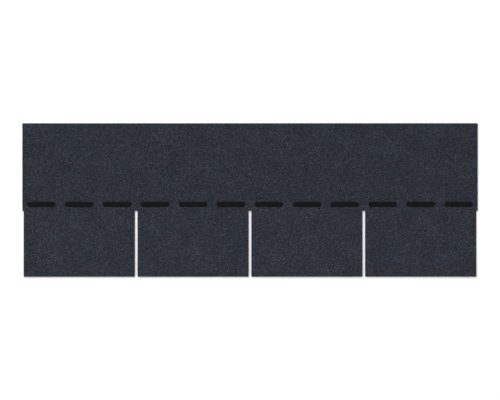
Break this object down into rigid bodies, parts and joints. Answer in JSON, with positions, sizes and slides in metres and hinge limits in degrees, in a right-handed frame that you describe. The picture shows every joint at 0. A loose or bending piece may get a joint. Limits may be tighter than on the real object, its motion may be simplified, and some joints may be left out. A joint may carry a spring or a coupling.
{
  "type": "asphalt shingle",
  "caption": "Flat rectangular-tab asphalt roof shingle with slots between its tabs, a row of sealant bars on the face and a release film on the back.",
  "frame": {"origin": "on the back, in the middle of the strip's outline", "axes": "+X along the strip's length, which runs along the eaves; +Y up the roof slope, from the tabs to the head edge; +Z out of the mineral face"},
  "size_m": [1, 0.337, 0.0038],
  "materials": {
    "granules": "matte",
    "sealant": "satin",
    "film": "gloss"
  },
  "bodies": {
    "root": {"shingle_sheet": "granules", "sealant_bars": "sealant", "release_film": "film"}
  },
  "joints": []
}
